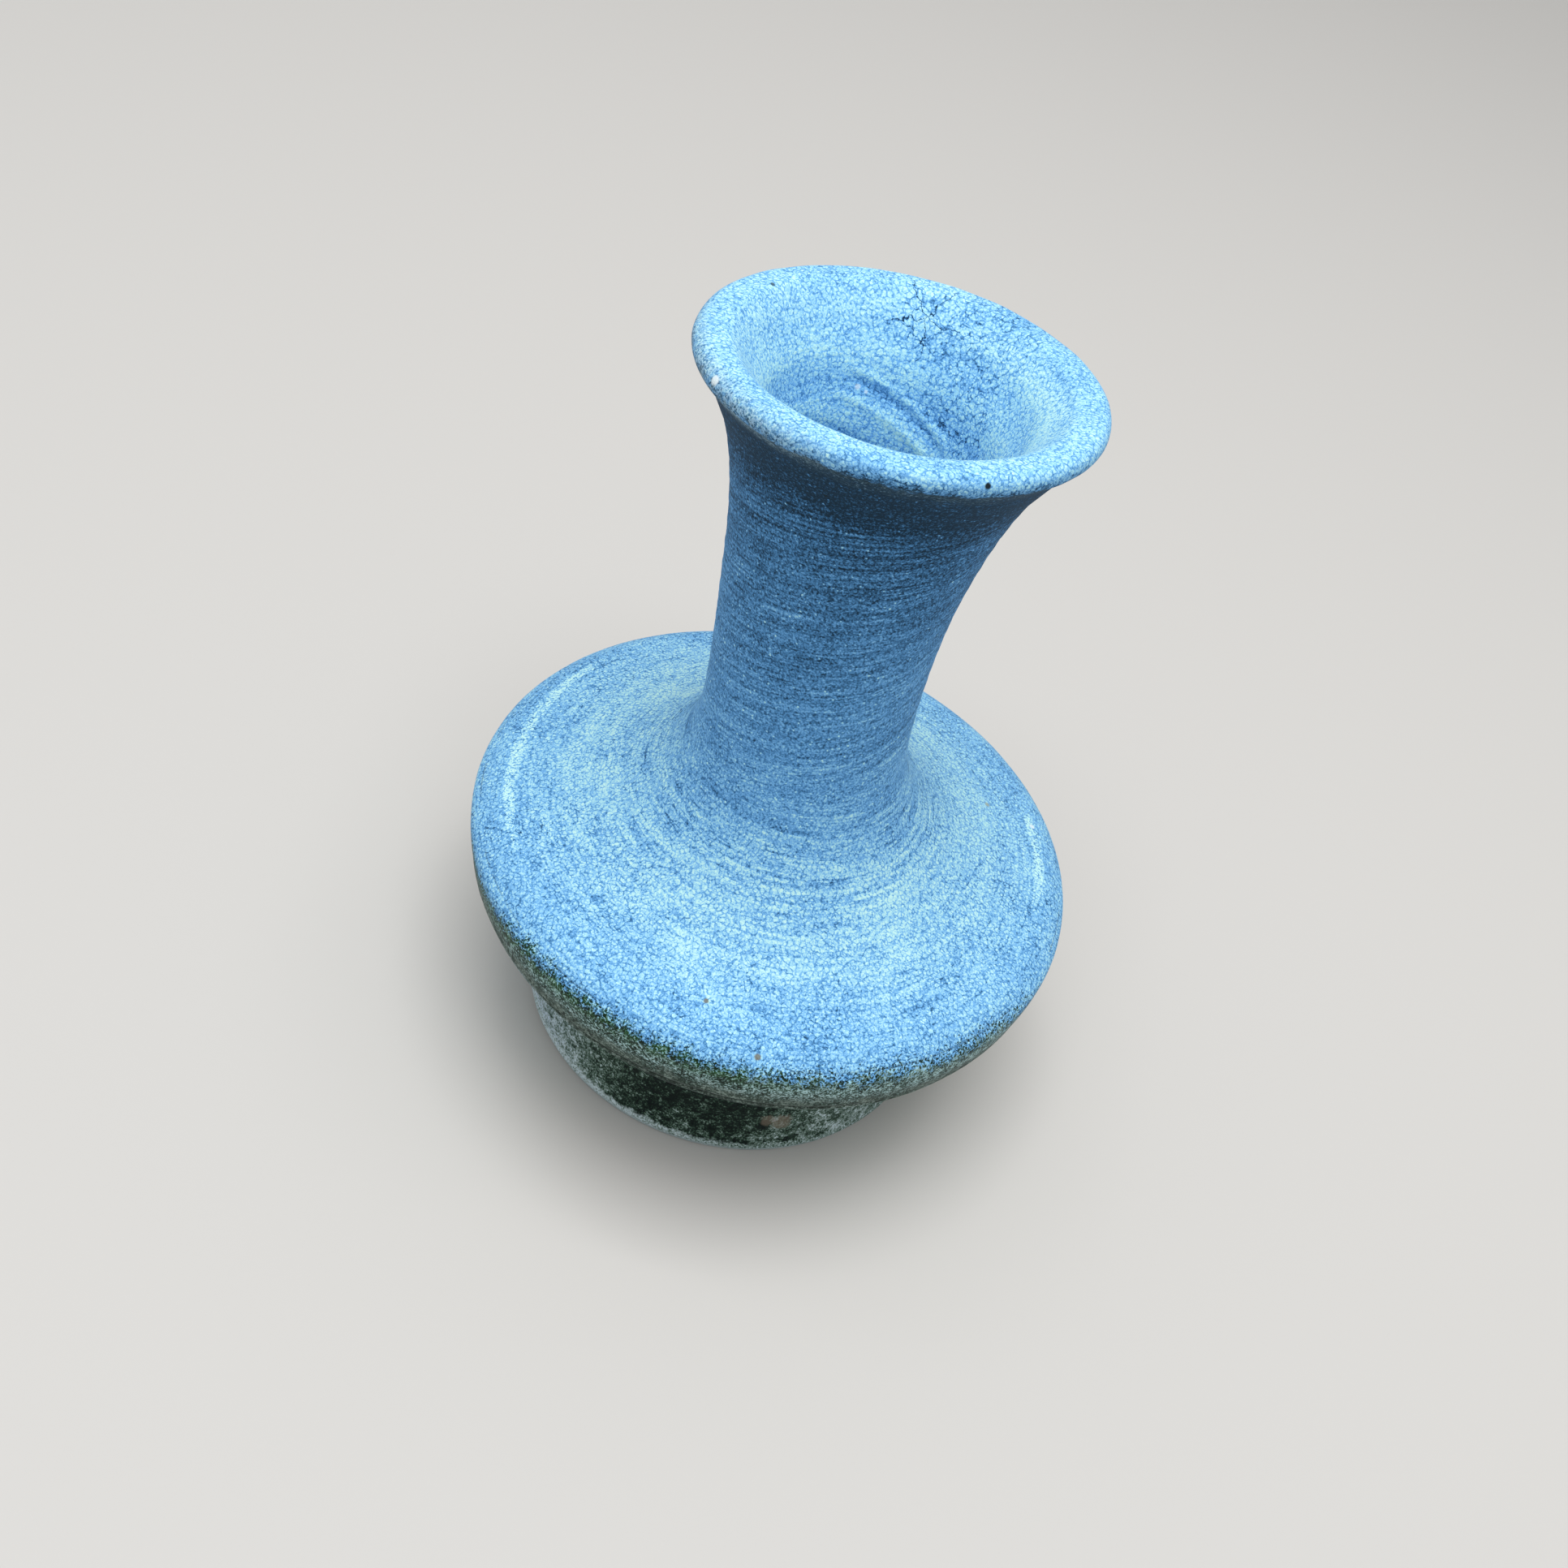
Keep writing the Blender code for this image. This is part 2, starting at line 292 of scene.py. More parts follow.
def station(run, proud):
    """Radius and height of a face that stands proud of the clay, at a run down the outline."""
    radius = np.interp(run, clay_run, clay[:, 0]) - proud * np.interp(run, clay_run, along[:, 1])
    height = np.interp(run, clay_run, clay[:, 1]) + proud * np.interp(run, clay_run, along[:, 0])
    return max(radius, 0.0), height


def runs(*places_and_counts):
    """Runs down the outline: places in order, with the number of steps between each two."""
    places, counts = places_and_counts[::2], places_and_counts[1::2]
    made = []
    for start, end, count in zip(places, places[1:], counts):
        made += list(np.linspace(start, end, count, endpoint=False))
    return made + [places[-1]]


def turned(name, section, segments, closed):
    """A section of (radius, height) corners, drawn by extrusion and spun round the axis."""
    bpy.ops.object.select_all(action="DESELECT")
    bpy.ops.mesh.primitive_plane_add(size=0.001)
    piece = bpy.context.object
    piece.name = name
    piece.data.name = name
    bpy.ops.object.mode_set(mode="EDIT")
    bpy.ops.mesh.select_all(action="SELECT")
    bpy.ops.mesh.merge(type="CENTER")
    bpy.ops.transform.translate(value=(section[0][0], 0, section[0][1]))
    for here, there in zip(section, section[1:]):
        move = (there[0] - here[0], 0, there[1] - here[1])
        bpy.ops.mesh.extrude_region_move(TRANSFORM_OT_translate={"value": move})
    if closed:
        drawn = bmesh.from_edit_mesh(piece.data)
        drawn.verts.ensure_lookup_table()
        for vertex in drawn.verts:
            vertex.select_set(len(vertex.link_edges) == 1)
        bmesh.update_edit_mesh(piece.data)
        bpy.ops.mesh.edge_face_add()
    bpy.ops.object.mode_set(mode="OBJECT")
    wheel = piece.modifiers.new("wheel", "SCREW")
    wheel.steps = wheel.render_steps = segments
    wheel.use_merge_vertices = True
    wheel.merge_threshold = 0.00001
    bpy.ops.object.modifier_apply(modifier=wheel.name)
    bpy.ops.object.mode_set(mode="EDIT")
    bpy.ops.mesh.select_all(action="SELECT")
    bpy.ops.mesh.normals_make_consistent(inside=False)
    bpy.ops.object.mode_set(mode="OBJECT")
    bpy.ops.object.shade_smooth()
    return piece


def ease(value, low, high):
    """0 below low, 1 above high, and a smooth rise between."""
    t = np.clip((value - low) / (high - low), 0, 1)
    return t * t * (3 - 2 * t)


def band(value, low, high, soft):
    """1 between low and high, falling softly to 0 outside them."""
    return ease(value, low - soft, low + soft) * (1 - ease(value, high - soft, high + soft))


def hump(value, middle, width):
    """1 at a middle value, falling to nearly 0 two widths away."""
    return np.exp(-((value - middle) / width) ** 2)


def rippled(distance, ripples):
    """Even ripples along a distance, each of a height and a length."""
    return sum(height * np.sin(2 * math.pi * distance / length) for height, length in ripples)


def climbing(distance, turn, rise):
    """A distance, shifted as a spiral climbs: by its rise in each turn."""
    return distance + rise * turn / (2 * math.pi)


def lumps(points, size, seed):
    """Even, soft noise between about -1 and 1 at each point, with lumps of a size in metres."""
    shift = Vector((seed * 7.3, seed * 3.1, seed * 5.7))
    return np.array([noise.noise(Vector(point) / size + shift) for point in points])


def settle(points):
    """Where the points of the upright pot lie once the neck has leaned and the lip tilted."""
    x, y, z = points.T
    slope = LIP_RISE_TO_SIDE * x - LIP_FALL_TO_BACK * y
    rise = slope * ease(z, TILT_FROM, TILT_TO)
    shift = -LEAN * ease(z, LEAN_FROM, LEAN_TO)
    return np.stack([x + shift, y, z + rise], axis=1)


def finger_mark(run, turn, first, last, width, depth, soft=8):
    """The relief of one line between two places, each a turn in degrees and a run."""
    degrees = np.degrees(turn)
    middle = np.interp(degrees, (first[0], last[0]), (first[1], last[1]))
    return -depth * band(degrees, first[0], last[0], soft) * hump(run, middle, width)


def throwing(points, run, turn):
    """How far the maker's marks raise or lower each point of the outer face and the mouth."""
    patchy = 0.65 + 0.35 * lumps(points, 0.011, 1)
    relief = 0.0
    for patch, distance, ripples in (
            (NECK_MARKS, climbing(run, turn, NECK_RISE), NECK_RIPPLES),
            (SHOULDER_MARKS, run, SHOULDER_RIPPLES),
            (MOUTH_MARKS, climbing(run, turn, -MOUTH_RISE), MOUTH_RIPPLES)):
        relief += band(run, *patch) * patchy * rippled(distance, ripples)
    relief += 0.00005 * lumps(points, 0.009, 2)
    for line in FINGER_MARKS:
        relief += finger_mark(run, turn, *line)
    return relief + band(run, *LIP_DENTS) * 0.00008 * lumps(points, 0.004, 3)


def trimming(points, run, turn):
    """The turning tool's rings on the underside and the foot, and the glaze's unevenness."""
    relief = 0.00003 * lumps(points, 0.006, 4) + 0.00002 * lumps(points, 0.0014, 5)
    return relief + band(run, *UNDERSIDE_RINGS) * rippled(run, UNDERSIDE_RIPPLES)


def floor_spiral(points, run, turn):
    """The turning tool's spiral under the floor, and wear all over but on the standing face."""
    radius = np.hypot(points[:, 0], points[:, 1])
    under = band(radius, *FLOOR_SPIRAL) * (points[:, 2] < 0.0075)
    worn = (points[:, 2] > 0.0008) * 0.00003 * lumps(points, 0.003, 6)
    return under * rippled(climbing(radius, turn, -FLOOR_RISE), FLOOR_RIPPLES) + worn


def liner_swirl(points, run, turn):
    """The soft swirl that the poured lining left."""
    return rippled(climbing(run, turn, -LINER_RISE), LINER_RIPPLES)


def rows_of_three(collection, name):
    """A property of three numbers, read from every item of a mesh."""
    values = np.empty(len(collection) * 3)
    collection.foreach_get(name, values)
    return values.reshape(-1, 3)


def shape(piece, section, section_runs, seen, relief):
    """Marks the faces of a turned piece by its first, seen corners, settles it and stores each
    point's run and mark."""
    tree = kdtree.KDTree(len(section))
    for index, (radius, height) in enumerate(section):
        tree.insert((radius, 0, height), index)
    tree.balance()
    mesh = piece.data
    points = rows_of_three(mesh.vertices, "co")
    facing = rows_of_three(mesh.vertex_normals, "vector")
    radius = np.hypot(points[:, 0], points[:, 1])
    near = np.array([tree.find((r, 0, z))[1] for r, z in zip(radius, points[:, 2])])
    run = np.array(section_runs)[near]
    turn = np.arctan2(points[:, 1], points[:, 0])
    proud = relief(points, run, turn) * (near < seen)
    mesh.vertices.foreach_set("co", settle(points + facing * proud[:, None]).ravel())
    for name, values in (("run", run), ("mark", proud / MARK_UNIT)):
        stored = mesh.attributes.new(name, "FLOAT", "POINT")
        stored.data.foreach_set("value", values)
    mesh.update()
    return piece


def skin(name, seen_runs, seen_proud, hidden_runs, hidden_proud, segments, relief, closed=True):
    """A coat of glaze: its seen face down the outline, and its hidden face back up again."""
    all_runs = list(seen_runs) + list(hidden_runs)
    proud = [seen_proud(run) for run in seen_runs] + [hidden_proud(run) for run in hidden_runs]
    section = [station(run, out) for run, out in zip(all_runs, proud)]
    return shape(turned(name, section, segments, closed), section, all_runs, len(seen_runs), relief)


def blue_face(run):
    """Full thickness, feathered down to the green glaze at the lower edge."""
    feather = 1 - float(ease(run, BLUE_END - FEATHER, BLUE_END))
    return GREEN_FACE + (BLUE_FACE - GREEN_FACE) * feather


def blue_back(run):
    """Clear of the green that the blue hides, and sunk in it where the blue thins out."""
    return UNDER_BLUE if run < BLUE_END - FEATHER else BLUE_EDGE_BACK


def green_face(run):
    """Thin under the blue, full below it, cut by a groove at the crease, and beaded at the foot."""
    proud = GREEN_HIDDEN + (GREEN_FACE - GREEN_HIDDEN) * float(ease(run, *GREEN_THICKENS))
    for height, middle, width in GREEN_RELIEF:
        proud += height * hump(run, middle, width)
    return proud - GREEN_EDGE_DRAW * float(ease(run, GREEN_END - GREEN_EDGE_REACH, GREEN_END))


def green_back(run):
    """Just off the clay, and sunk in it behind the groove, which would else cut through."""
    return GREEN_BACK if run < SUNK_START or run > SUNK_END else GREEN_BACK_AT_CREASE


def blue_glaze_skin():
    """The sprayed blue, from inside the mouth to the edge of the shoulder."""
    seen = runs(BLUE_START, 8, SWIRL_START, 34, SWIRL_END, 9, CROWN_EDGE, 14, 0.0, 20,
                ROLL_END, 88, NECK_END, 32, SHOULDER_END, 16, BLUE_END)
    hidden = runs(BLUE_END, 8, NECK_LOW, 6, LIP_END, 8, CROWN_EDGE, 4, BLUE_START)
    return skin("blue_glaze_skin", seen, blue_face, hidden, blue_back, 384, throwing)


def green_glaze_skin():
    """The dark green, from inside the mouth to the foot, under the blue as far as that goes."""
    seen = runs(GREEN_START, 10, CROWN_EDGE, 12, LIP_END, 30, BREAK_START, 34,
                GROOVE_START, 18, GROOVE_END, 40, UNDERSIDE_END, 28, GREEN_END)
    hidden = runs(GREEN_END, 8, SUNK_END, 4, SUNK_START, 12, NECK_LOW, 8, LIP_END, 8,
                  CROWN_EDGE, 6, GREEN_START)
    return skin("green_glaze_skin", seen, green_face, hidden, green_back, 384, trimming)


def liner_glaze_skin():
    """The lining, from the throat down to the middle of the floor."""
    seen = runs(LINER_START, 34, WALL_START, 20, WALL_END, 16, FLOOR_END)[::-1]
    hidden = runs(LINER_START, 20, WALL_START, 10, WALL_END, 5, FLOOR_END)
    return skin("liner_glaze_skin", seen, lambda run: LINER_FACE, hidden, lambda run: LINER_BACK,
                128, liner_swirl, closed=False)


def turned_foot():
    """A bare clay ring, rounded where it stands, with a fillet up to the floor."""
    behind_green = [station(run, -FOOT_GAP) for run in runs(FOOT_START, 8, FOOT_END - 0.0002)]
    outer_round = roll((FOOT_RADIUS - STAND_INSET - STAND_ROUND, STAND_ROUND), STAND_ROUND,
                       0, -90, 6)
    inner_round = roll((FOOT_BORE + STAND_ROUND, STAND_ROUND), STAND_ROUND, -90, -180, 6)
    stand = np.linspace(outer_round[-1], inner_round[0], 5)
    fillet = roll((FOOT_BORE - FLOOR_ROUND, FLOOR_UNDER - FLOOR_ROUND), FLOOR_ROUND, 0, 90, 8)
    bore_wall = np.linspace(inner_round[-1], fillet[0], 5)
    top = fillet[-1] + np.array([(0, FOOT_LAP), (FOOT_WALL, FOOT_LAP)])
    ring = np.concatenate([joined([outer_round[1:], stand, inner_round, bore_wall, fillet]), top])
    section = behind_green + [tuple(corner) for corner in ring]
    return shape(turned("turned_foot", section, 256, closed=True), section,
                 [FOOT_RUN] * len(section), len(section), floor_spiral)


def turned_lip():
    """The clay lip behind the glaze, with the same broad crown."""
    lip_runs = runs(LIP_INSIDE, 20, 0.0, 20, LIP_OUTSIDE)
    section = [station(run, 0.0) for run in lip_runs]
    return shape(turned("turned_lip", section, 128, closed=True), section, lip_runs, 0, throwing)


def turned_bowl():
    """The bowl: its floor shows from below, and its walls stand behind the glaze."""
    under = [(radius, FLOOR_UNDER) for radius in np.linspace(0, FOOT_BORE - WALL_GAP, 40)]
    on_foot = [(FOOT_BORE + 0.0030, FLOOR_UNDER + 0.00045)]
    wall = [station(run, -WALL_GAP) for run in runs(WALL_FOOT, 16, WALL_TOP)]
    rim = [(BELLY_RADIUS - 0.0008, BELLY_HEIGHT - 0.0002),
           (BELLY_RADIUS - 0.0042, BELLY_HEIGHT - 0.0002)]
    well = [station(run, -WELL_GAP) for run in runs(WELL_TOP, 14, WALL_END)]
    section = under + on_foot + wall + rim + well + [(0.0, FLOOR_HEIGHT - WELL_GAP)]
    return shape(turned("turned_bowl", section, 256, closed=False), section,
                 [BOWL_RUN] * len(section), len(under), floor_spiral)


blue_skin = blue_glaze_skin()
green_skin = green_glaze_skin()
liner_skin = liner_glaze_skin()
foot = turned_foot()
clay_lip = turned_lip()
bowl = turned_bowl()


def feed(tree, socket, value):
    """Sets an input, or links it where the value is another node's socket."""
    if isinstance(value, bpy.types.NodeSocket):
        tree.links.new(value, socket)
    else:
        socket.default_value = value


def add(tree, kind, inputs=None, **settings):
    """A node with its settings made and its inputs fed."""
    node = tree.nodes.new("ShaderNode" + kind)
    for name, value in settings.items():
        setattr(node, name, value)
    for name, value in (inputs or {}).items():
        feed(tree, node.inputs[name], value)
    return node


def calc(tree, operation, *values):
    """The result of one Math node."""
    return add(tree, "Math", dict(enumerate(values)), operation=operation).outputs[0]


def product(tree, *values):
    """Values multiplied together."""
    made = values[0]
    for value in values[1:]:
        made = calc(tree, "MULTIPLY", made, value)
    return made


def layered(tree, base, layers):
    """A value with others laid over it, each a value and its strength."""
    for value, strength in layers:
        base = calc(tree, "MULTIPLY_ADD", value, strength, base)
    return base


def gap(tree, value, middle):
    """How far a value lies from a middle one, either way."""
    return calc(tree, "ABSOLUTE", calc(tree, "SUBTRACT", value, middle))


def fit(tree, value, low, high, new_low=0.0, new_high=1.0, smooth=False):
    """A value brought from one range to another, and held inside it."""
    return add(tree, "MapRange",
               {"Value": value, "From Min": low, "From Max": high, "To Min": new_low,
                "To Max": new_high},
               interpolation_type="SMOOTHSTEP" if smooth else "LINEAR").outputs["Result"]


def fall(tree, value, low, high, least=0.0):
    """1 up to low, falling to its least at high."""
    return fit(tree, value, low, high, 1.0, least)


def spread(tree, share, at_none, at_full):
    """A value that goes from one to another as a share goes from 0 to 1."""
    return fit(tree, share, 0.0, 1.0, at_none, at_full)


def between(tree, share, first, second):
    """The first value where the share is 0, and the second where it is 1."""
    return add(tree, "Mix", {0: share, 2: first, 3: second}, data_type="FLOAT").outputs[0]


def vector(tree, operation, *values, **scale):
    """The result of one Vector Math node: a number for LENGTH and DISTANCE, or else a vector."""
    node = add(tree, "VectorMath", {**dict(enumerate(values)), **scale}, operation=operation)
    return node.outputs["Value" if operation in ("LENGTH", "DISTANCE") else "Vector"]


def coordinates(tree, place):
    """X, Y and Z of a place."""
    return add(tree, "SeparateXYZ", {0: place}).outputs


def from_axis(tree, split):
    """How far a place lies from the pot's axis."""
    flat = add(tree, "CombineXYZ", {0: split["X"], 1: split["Y"]}).outputs[0]
    return vector(tree, "LENGTH", flat)


def blend(tree, factor, first, second, kind="MIX"):
    """Two colours mixed."""
    node = add(tree, "Mix", data_type="RGBA", blend_type=kind)
    for index, value in ((0, factor), (6, first), (7, second)):
        feed(tree, node.inputs[index], (*value, 1) if isinstance(value, tuple) else value)
    return node.outputs[2]


def ramp(tree, factor, stops):
    """A colour ramp through (place, colour) stops; a single number stands for a grey."""
    node = add(tree, "ValToRGB", {"Fac": factor})
    bar = node.color_ramp
    while len(bar.elements) < len(stops):
        bar.elements.new(0.5)
    for element, (place, colour) in zip(bar.elements, stops):
        element.position = place
        grey = isinstance(colour, float)
        element.color = (colour, colour, colour, 1) if grey else (*colour, 1)
    return node.outputs["Color"]


def through(tree, distance, stops, low, high):
    """A value that changes along a distance, through stops of (millimetres, value)."""
    return ramp(tree, fit(tree, distance, low, high),
                [((at / 1000 - low) / (high - low), value) for at, value in stops])


def grain(tree, place, size, detail=2.0):
    """Noise with lumps of a size in metres."""
    inputs = {"Vector": place, "Scale": 1 / size, "Detail": detail}
    return add(tree, "TexNoise", inputs).outputs["Fac"]


def mottle(tree, place, size, detail=2.0):
    """Noise with lumps of a size in metres, spread to run from -1 to 1."""
    return fit(tree, grain(tree, place, size, detail), 0.3, 0.7, -1.0, 1.0)


def group(name, inputs, outputs):
    """An empty node group with its named inputs and outputs, each of a kind."""
    tree = bpy.data.node_groups.new(name, "ShaderNodeTree")
    for side, sockets in (("INPUT", inputs), ("OUTPUT", outputs)):
        for label, kind in sockets.items():
            tree.interface.new_socket(label, in_out=side, socket_type="NodeSocket" + kind)
    given = tree.nodes.new("NodeGroupInput").outputs
    result = tree.nodes.new("NodeGroupOutput").inputs
    return tree, given, result


def use(tree, inner_tree, inputs):
    """The outputs of a node group placed in a tree."""
    return add(tree, "Group", inputs, node_tree=inner_tree).outputs


# The star crack's lines stray this far to either side
STAR_BEND = 0.0012
# Throwing lines: how wide a streak is, and how far it takes to change along its way
NECK_STREAK, NECK_STREAK_REACH = 0.00042, 0.004
RING_STREAK, RING_REACH = 0.00045, 0.010


def dry_speckle():
    """Fine pale grains of sprayed glaze, with dark gaps between them."""
    tree, given, result = group("dry speckle", {"Place": "Vector", "Size": "Float"},
                                {"Speck": "Float", "Bright": "Float", "Height": "Float"})
    scale = calc(tree, "DIVIDE", 1.0, given["Size"])
    fine = add(tree, "TexNoise",
               {"Vector": given["Place"], "Scale": scale, "Detail": 2.0, "Roughness": 0.7})
    fine_level = fit(tree, fine.outputs["Fac"], 0.30, 0.70)
    cells = add(tree, "TexVoronoi",
                {"Vector": given["Place"], "Scale": product(tree, scale, 0.8)}, feature="F1")
    chance = add(tree, "SeparateColor", {"Color": cells.outputs["Color"]}).outputs
    near_middle = fall(tree, cells.outputs["Distance"], 0.20, 0.55)
    feed(tree, result["Speck"], layered(tree, product(tree, chance["Red"], 0.22),
                                        [(fine_level, 0.78)]))
    feed(tree, result["Bright"], product(tree, near_middle, fit(tree, chance["Green"], 0.94, 0.97)))
    feed(tree, result["Height"], layered(tree, product(tree, fine_level, 0.6), [(near_middle, 0.4)]))
    return tree


def crackle_lines():
    """Hair lines where a dry coat has shrunk."""
    tree, given, result = group("crackle", {"Place": "Vector", "Cell": "Float", "Width": "Float"},
                                {"Lines": "Float"})
    scale = calc(tree, "DIVIDE", 1.0, given["Cell"])
    warp = add(tree, "TexNoise",
               {"Vector": given["Place"], "Scale": product(tree, scale, 2.2), "Detail": 2.0})
    reach = vector(tree, "SCALE", warp.outputs["Color"], Scale=product(tree, given["Cell"], 0.6))
    moved = vector(tree, "ADD", given["Place"], reach)
    edges = add(tree, "TexVoronoi", {"Vector": moved, "Scale": scale},
                feature="DISTANCE_TO_EDGE")
    real = product(tree, edges.outputs["Distance"], given["Cell"])
    feed(tree, result["Lines"], fall(tree, calc(tree, "DIVIDE", real, given["Width"]), 0.35, 1.0))
    return tree


def star_crack():
    """Hair lines that spread from one place."""
    tree, given, result = group("star crack", {"Place": "Vector", "Centre": "Vector",
                                               "Reach": "Float", "Width": "Float"},
                                {"Lines": "Float"})
    bent = add(tree, "TexNoise", {"Vector": given["Place"], "Scale": 700.0, "Detail": 3.0})
    bent = vector(tree, "SCALE", bent.outputs["Color"], Scale=2 * STAR_BEND)
    offset = vector(tree, "SUBTRACT", given["Place"], given["Centre"])
    offset = vector(tree, "ADD", offset, bent)
    offset = vector(tree, "ADD", offset, (-STAR_BEND, -STAR_BEND, -STAR_BEND))
    apart = vector(tree, "LENGTH", offset)
    split = coordinates(tree, offset)
    upward = product(tree, calc(tree, "ADD", split["Y"], split["Z"]), 0.7071)
    angle = calc(tree, "ARCTAN2", upward, split["X"])
    arms = calc(tree, "ABSOLUTE", calc(tree, "SINE", calc(tree, "MULTIPLY_ADD", angle, 2.5, 0.6)))
    sideways = product(tree, arms, apart, 0.4)
    line = fall(tree, calc(tree, "DIVIDE", sideways, given["Width"]), 0.35, 1.0)
    fade = fall(tree, calc(tree, "DIVIDE", apart, given["Reach"]), 0.6, 1.0)
    feed(tree, result["Lines"], product(tree, line, fade))
    return tree


def round_spot():
    """A soft-edged round mark at a place."""
    tree, given, result = group("spot", {"Place": "Vector", "Centre": "Vector", "Radius": "Float"},
                                {"Mask": "Float"})
    away = vector(tree, "DISTANCE", given["Place"], given["Centre"])
    uneven = calc(tree, "MULTIPLY_ADD", grain(tree, given["Place"], 0.0006), 0.9, 0.55)
    share = calc(tree, "DIVIDE", away, product(tree, given["Radius"], uneven))
    feed(tree, result["Mask"], fall(tree, share, 0.7, 1.15))
    return tree


def throwing_lines():
    """Spiral streaks round the neck and level ones round the rest, from -1 to 1, and thin scored
    lines that run along with them, from 0 to 1."""
    tree, given, result = group("throwing lines", {"Place": "Vector", "Run": "Float"},
                                {"Lines": "Float", "Scored": "Float"})
    place, run = given["Place"], given["Run"]
    split = coordinates(tree, place)
    turn = calc(tree, "ARCTAN2", split["Y"], calc(tree, "ADD", split["X"], LEAN * 0.8))
    climb = calc(tree, "MULTIPLY_ADD", run, 2 * math.pi / NECK_RISE, turn)
    circle = NECK_RISE / (2 * math.pi * NECK_STREAK)
    spun = add(tree, "CombineXYZ",
               {0: product(tree, calc(tree, "COSINE", climb), circle),
                1: product(tree, calc(tree, "SINE", climb), circle),
                2: calc(tree, "DIVIDE", run, NECK_STREAK_REACH)}).outputs[0]
    ringed = add(tree, "CombineXYZ",
                 {0: calc(tree, "DIVIDE", split["X"], RING_REACH),
                  1: calc(tree, "DIVIDE", split["Y"], RING_REACH),
                  2: calc(tree, "DIVIDE", run, RING_STREAK)}).outputs[0]
    on_neck = product(tree, fit(tree, run, 0.006, 0.012), fall(tree, run, 0.052, 0.060))

    streaks = between(tree, on_neck, fit(tree, grain(tree, ringed, 1.0), 0.32, 0.68, -1.0, 1.0),
                      fit(tree, grain(tree, spun, 1.0), 0.32, 0.68, -0.7, 1.0))
    patch = fit(tree, grain(tree, place, 0.006), 0.36, 0.62, 0.25, 1.0)
    feed(tree, result["Lines"], product(tree, streaks, patch))

    scores = []
    for route in (ringed, spun):
        wider = vector(tree, "SCALE", route, Scale=0.40)
        scores.append(fall(tree, gap(tree, grain(tree, wider, 1.0, 1.0), 0.5), 0.006, 0.030))
    broken_up = fit(tree, grain(tree, place, 0.0045), 0.45, 0.60)
    feed(tree, result["Scored"], product(tree, between(tree, on_neck, *scores), broken_up))
    return tree


# Colours of the glazes and the clay, from deep to pale
BLUES = [(0.00, (0.009, 0.030, 0.056)), (0.20, (0.030, 0.108, 0.225)),
         (0.42, (0.088, 0.280, 0.565)), (0.62, (0.182, 0.470, 0.850)),
         (0.80, (0.362, 0.710, 0.885)), (1.00, (0.605, 0.935, 0.900))]
RIM_TEALS = [(0.00, (0.008, 0.022, 0.034)), (0.40, (0.032, 0.086, 0.120)),
             (0.70, (0.130, 0.255, 0.330)), (1.00, (0.500, 0.700, 0.800))]
GREENS = [(0.00, (0.005, 0.014, 0.008)), (0.25, (0.022, 0.058, 0.038)),
          (0.50, (0.088, 0.160, 0.138)), (0.72, (0.220, 0.350, 0.345)),
          (1.00, (0.480, 0.700, 0.740))]
FORESTS = [(0.00, (0.005, 0.018, 0.006)), (0.45, (0.018, 0.066, 0.023)),
           (0.70, (0.062, 0.160, 0.080)), (1.00, (0.300, 0.500, 0.480))]
OLIVES = [(0.00, (0.014, 0.026, 0.018)), (0.50, (0.064, 0.100, 0.080)),
          (1.00, (0.230, 0.300, 0.270))]
FOOT_GREYS = [(0.00, (0.002, 0.007, 0.006)), (0.30, (0.012, 0.030, 0.021)),
              (0.50, (0.070, 0.130, 0.092)), (0.75, (0.270, 0.378, 0.355)),
              (1.00, (0.620, 0.760, 0.820))]
LININGS = [(0.0, (0.012, 0.022, 0.020)), (1.0, (0.055, 0.085, 0.080))]
CLAYS = [(0.0, (0.21, 0.135, 0.10)), (1.0, (0.36, 0.26, 0.20))]
IRON_SPECK = (0.06, 0.035, 0.025)
GLAZE_SMEAR = (0.440, 0.540, 0.560)
# A dark line under the lip's roll: partly the green at the rim, partly painted shade
RIM_LINE_AND_SHADE = (0.005, 0.015, 0.014)
# Painted shade: the dark line in the crease's groove
CREASE_SHADE = (0.005, 0.009, 0.008)
LAVENDER_TINT = (0.86, 0.88, 1.0)
# Spray cover down the outline, as run in millimetres and cover. Low under the lip and down the neck:
# partly thin spray, partly painted shade under the lip's overhang.
SPRAY_COVER_AND_SHADE = [(-31, 0.88), (-14, 0.91), (-6, 1.0), (-3, 0.93), (0.6, 0.89), (1.6, 0.76), (2.2, 0.38),
         (2.8, 0.08), (4.0, 0.02),
         (9.5, 0.03), (12, 0.14), (14, 0.28), (24, 0.40), (38, 0.52), (48, 0.58), (56, 0.68),
         (61, 0.77), (66, 0.88), (71, 0.97), (75, 1.0), (78, 1.0), (82, 0.94), (86, 0.89), (88, 0.85)]
# How much the throwing lines show down the outline, as run in millimetres and share
STREAK_SHARE = [(-31, 0.6), (-12, 0.35), (-3, 0.0), (4, 0.0), (11, 0.7), (16, 1.0), (44, 0.9),
                (54, 0.9), (66, 0.9), (72, 0.45), (82, 0.60), (90, 0.4)]
SPRAY_SPAN = (-0.035, 0.100)
# How the foot's tone changes from left to right, as x in millimetres and a share of the change
FOOT_SIDES = [(-30, 1.0), (-24, 0.94), (-18, 0.74), (-12, 0.48), (-7, 0.14), (9, 0.12), (14, 0.56),
              (30, 0.62)]
FOOT_SPAN = (-0.030, 0.030)
# Colours of the small flaws
PIT = (0.010, 0.020, 0.028)
CHIP = (0.750, 0.880, 0.940)
BROWN_SPECK = (0.200, 0.170, 0.080)
SANDY_SPECK = (0.340, 0.340, 0.240)
RUST = (0.265, 0.220, 0.170)
